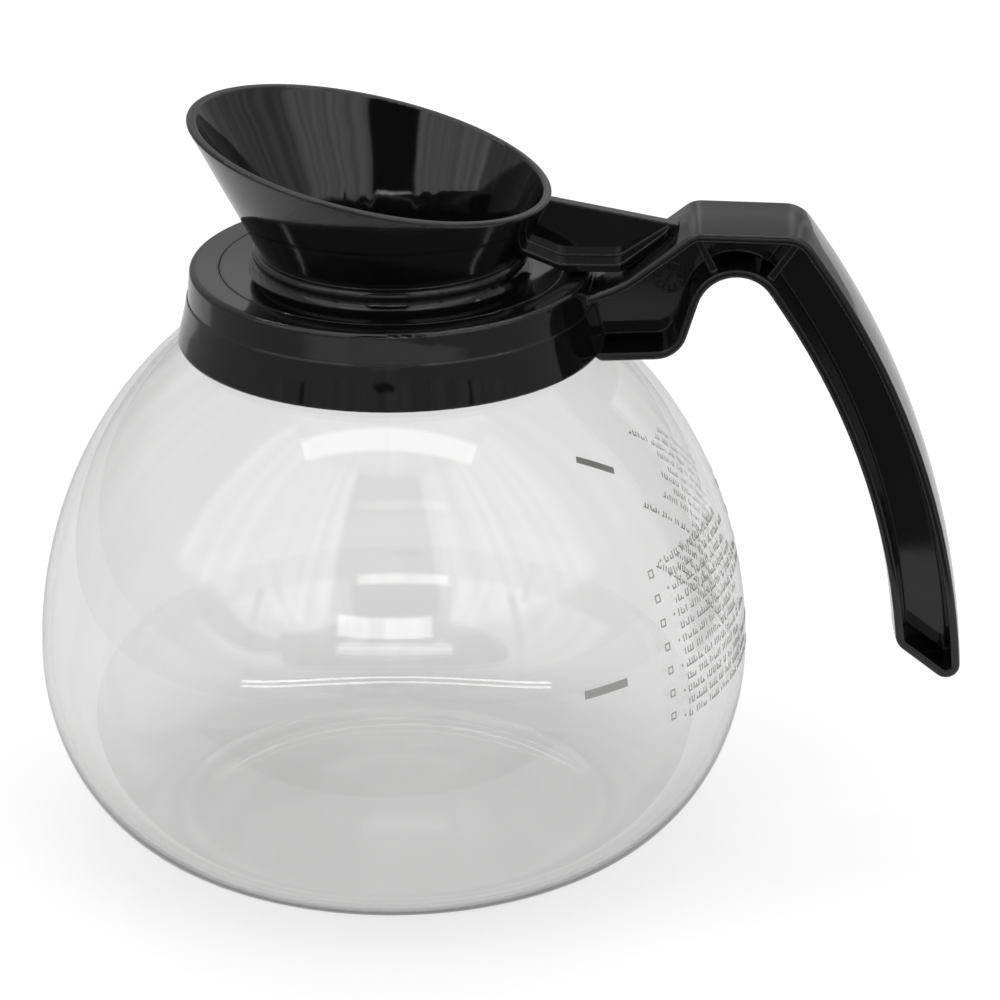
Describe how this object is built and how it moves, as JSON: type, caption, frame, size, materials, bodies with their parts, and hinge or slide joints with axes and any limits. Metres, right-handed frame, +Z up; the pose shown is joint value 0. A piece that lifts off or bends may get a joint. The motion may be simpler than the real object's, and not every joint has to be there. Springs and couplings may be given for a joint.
{
  "type": "glass coffee decanter",
  "caption": "Round glass coffee decanter with a moulded collar, I-beam grip and tilted pouring funnel.",
  "frame": {"origin": "centre of the bowl's flat foot, on the surface that the decanter stands on", "axes": "+Z up along the bowl's axis, +X towards the handle, -X towards the pouring lip"},
  "size_m": [0.215, 0.165, 0.174],
  "materials": {
    "bowl_glass": "clear polished",
    "black_plastic": "moulded high gloss",
    "seal_rubber": "satin silicone",
    "ring_plastic": "matte",
    "print_enamel": "fired enamel print"
  },
  "bodies": {
    "root": {"glass_bowl": "bowl_glass", "handle_collar": "black_plastic", "pour_funnel": "black_plastic", "neck_gasket": "seal_rubber", "retaining_ring_front": "ring_plastic", "retaining_ring_back": "ring_plastic"}
  },
  "joints": []
}
